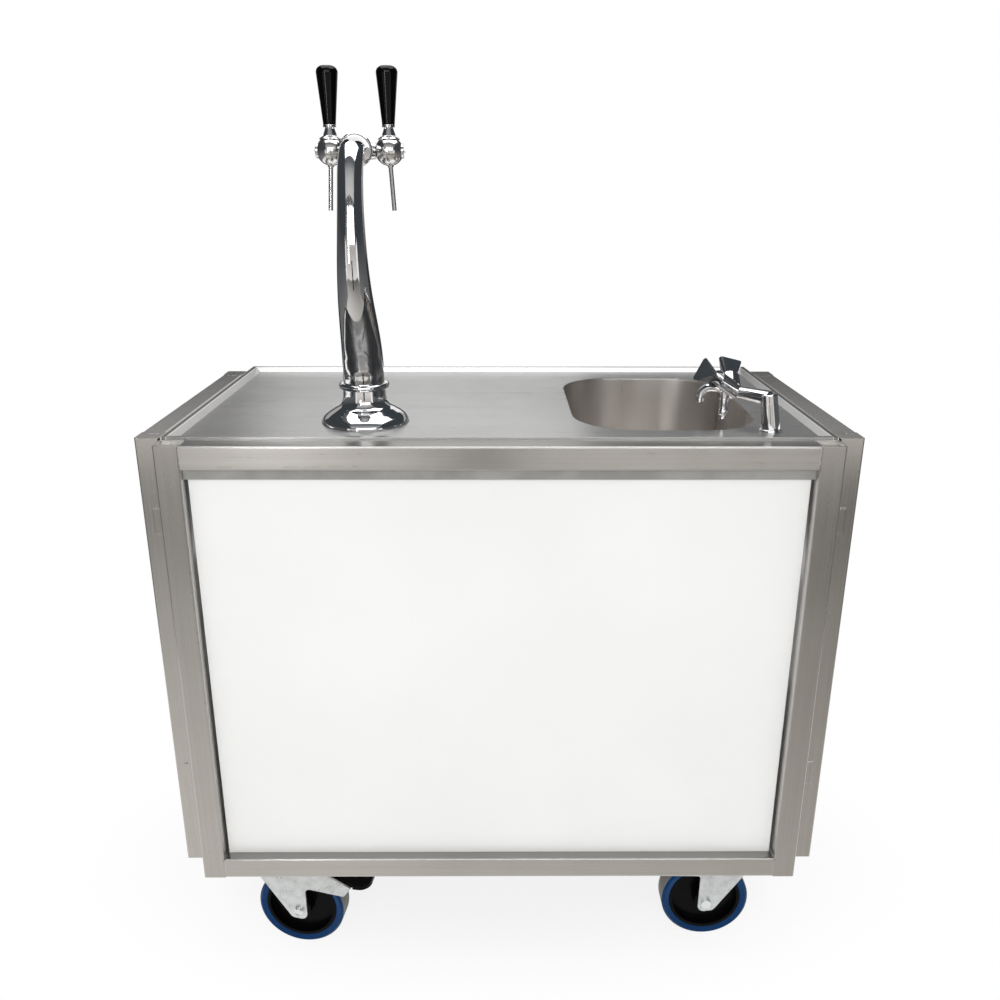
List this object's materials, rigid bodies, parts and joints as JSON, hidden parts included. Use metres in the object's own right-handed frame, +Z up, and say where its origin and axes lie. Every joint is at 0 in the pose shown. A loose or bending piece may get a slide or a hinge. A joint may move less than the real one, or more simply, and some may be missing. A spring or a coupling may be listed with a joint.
{
  "type": "mobile beer bar",
  "caption": "Mobile beer bar: steel tube cart on swivel casters, white front and swinging side wings, sink with mixer, swan-neck tower with ball taps over an ice cooler.",
  "frame": {"origin": "on the floor under the middle of the part's outer box, all wheels standing on the floor", "axes": "+X to the guest's right, +Y from the guest's side to the barkeeper's side, +Z up"},
  "size_m": [1.182, 0.65, 1.5915],
  "materials": {
    "steel": "brushed stainless steel tube and sheet",
    "bowl_steel": "satin drawn stainless steel",
    "panel_white": "smooth white panel",
    "grey_strip": "light grey trim strip",
    "chrome": "polished chrome plate",
    "zinc": "bright zinc-plated steel",
    "tyre_blue": "blue elastic rubber tread",
    "black_matte": "black nylon",
    "black_gloss": "glossy black grip",
    "knob_dark": "dark valve knob",
    "tub_white": "white polyethylene tub",
    "grey_plastic": "grey plastic pipe",
    "aluminium": "cast aluminium plate",
    "canister": "translucent white polyethylene"
  },
  "bodies": {
    "cart": {"frame_posts": "steel", "frame_top_rails": "steel", "frame_bottom_rails": "steel", "countertop": "steel", "front_panel": "panel_white", "panel_top_strip": "grey_strip", "base_shelf": "steel", "sink_bowl": "bowl_steel", "sink_strainer": "bowl_steel", "waste_pipe": "grey_plastic", "caster_plates": "zinc", "caster_bolts": "zinc", "wing_hinges": "steel", "tower_flange": "chrome", "tower_collar": "chrome", "tower_column": "chrome", "tower_clamp": "zinc", "tap_head_bar": "chrome", "tap_balls": "chrome", "tap_spouts": "chrome", "tap_side_caps": "chrome", "mixer_pillar": "chrome", "mixer_nut": "zinc", "cooler_tub": "tub_white", "cold_plate": "aluminium", "beer_risers": "bowl_steel", "beer_inlets": "bowl_steel", "water_canisters": "canister", "canister_cap": "black_matte"},
    "wing_left": {"wing_frame_left": "steel", "wing_panel_left": "panel_white"},
    "wing_right": {"wing_frame_right": "steel", "wing_panel_right": "panel_white"},
    "lever_left": {"lever_hood_left": "chrome", "lever_grip_left": "black_gloss"},
    "lever_right": {"lever_hood_right": "chrome", "lever_grip_right": "black_gloss"},
    "mixer_arm": {"mixer_body": "chrome", "mixer_nozzle": "chrome"},
    "knob_front": {"mixer_knob_front": "knob_dark"},
    "knob_rear": {"mixer_knob_rear": "knob_dark"},
    "fork_front_left": {"fork_front_left": "zinc", "axle_front_left": "zinc"},
    "wheel_front_left": {"wheel_front_left": "black_matte", "tyre_front_left": "tyre_blue"},
    "pedal_front_left": {"brake_pedal_front_left": "black_matte"},
    "fork_front_right": {"fork_front_right": "zinc", "axle_front_right": "zinc"},
    "wheel_front_right": {"wheel_front_right": "black_matte", "tyre_front_right": "tyre_blue"},
    "fork_rear_left": {"fork_rear_left": "zinc", "axle_rear_left": "zinc"},
    "wheel_rear_left": {"wheel_rear_left": "black_matte", "tyre_rear_left": "tyre_blue"},
    "pedal_rear_left": {"brake_pedal_rear_left": "black_matte"},
    "fork_rear_right": {"fork_rear_right": "zinc", "axle_rear_right": "zinc"},
    "wheel_rear_right": {"wheel_rear_right": "black_matte", "tyre_rear_right": "tyre_blue"},
    "lid": {"cooler_lid": "tub_white"}
  },
  "joints": [
    {"name": "wing_left_swing", "type": "hinge", "parent": "cart", "child": "wing_left", "pos_m": [-0.548, -0.2804, 0.6], "axis": [0, 0, 1], "range_deg": [0, 90]},
    {"name": "wing_right_swing", "type": "hinge", "parent": "cart", "child": "wing_right", "pos_m": [0.548, -0.2804, 0.6], "axis": [0, 0, -1], "range_deg": [0, 90]},
    {"name": "lever_left_pull", "type": "hinge", "parent": "cart", "child": "lever_left", "pos_m": [-0.284, -0.05966, 1.46103], "axis": [-1, 0, 0], "range_deg": [-15, 45]},
    {"name": "lever_right_pull", "type": "hinge", "parent": "cart", "child": "lever_right", "pos_m": [-0.186, -0.05966, 1.46103], "axis": [-1, 0, 0], "range_deg": [-15, 45]},
    {"name": "mixer_swing", "type": "hinge", "parent": "cart", "child": "mixer_arm", "pos_m": [0.45159, -0.20312, 1.06257], "axis": [-0.1229, 0.0653, 0.9903], "range_deg": [-60, 60]},
    {"name": "knob_front_turn", "type": "hinge", "parent": "mixer_arm", "child": "knob_front", "pos_m": [0.36421, -0.1792, 1.09836], "axis": [-0.732, -0.4613, 0.5014], "range_deg": [0, 180]},
    {"name": "knob_rear_turn", "type": "hinge", "parent": "mixer_arm", "child": "knob_rear", "pos_m": [0.39744, -0.13758, 1.09164], "axis": [0.0801, 0.8309, 0.5506], "range_deg": [0, 180]},
    {"name": "swivel_front_left", "type": "hinge", "parent": "cart", "child": "fork_front_left", "pos_m": [-0.432, -0.247, 0.1817], "axis": [0, 0, 1], "continuous": true},
    {"name": "roll_front_left", "type": "hinge", "parent": "fork_front_left", "child": "wheel_front_left", "pos_m": [-0.38051, -0.25424, 0.084], "axis": [-0.1392, -0.9903, 0], "continuous": true},
    {"name": "brake_front_left", "type": "hinge", "parent": "fork_front_left", "child": "pedal_front_left", "pos_m": [-0.31713, -0.26314, 0.15], "axis": [0.1392, 0.9903, 0], "range_deg": [0, 15]},
    {"name": "swivel_front_right", "type": "hinge", "parent": "cart", "child": "fork_front_right", "pos_m": [0.454, -0.237, 0.1817], "axis": [0, 0, 1], "continuous": true},
    {"name": "roll_front_right", "type": "hinge", "parent": "fork_front_right", "child": "wheel_front_right", "pos_m": [0.402, -0.237, 0.084], "axis": [0, 1, 0], "continuous": true},
    {"name": "swivel_rear_left", "type": "hinge", "parent": "cart", "child": "fork_rear_left", "pos_m": [-0.432, 0.247, 0.1817], "axis": [0, 0, 1], "continuous": true},
    {"name": "roll_rear_left", "type": "hinge", "parent": "fork_rear_left", "child": "wheel_rear_left", "pos_m": [-0.38, 0.247, 0.084], "axis": [0, -1, 0], "continuous": true},
    {"name": "brake_rear_left", "type": "hinge", "parent": "fork_rear_left", "child": "pedal_rear_left", "pos_m": [-0.316, 0.247, 0.15], "axis": [0, 1, 0], "range_deg": [0, 15]},
    {"name": "swivel_rear_right", "type": "hinge", "parent": "cart", "child": "fork_rear_right", "pos_m": [0.454, 0.237, 0.1817], "axis": [0, 0, 1], "continuous": true},
    {"name": "roll_rear_right", "type": "hinge", "parent": "fork_rear_right", "child": "wheel_rear_right", "pos_m": [0.402, 0.237, 0.084], "axis": [0, 1, 0], "continuous": true},
    {"name": "lid_open", "type": "hinge", "parent": "cart", "child": "lid", "pos_m": [-0.24, -0.097, 0.6033], "axis": [1, 0, 0], "range_deg": [0, 75]}
  ]
}
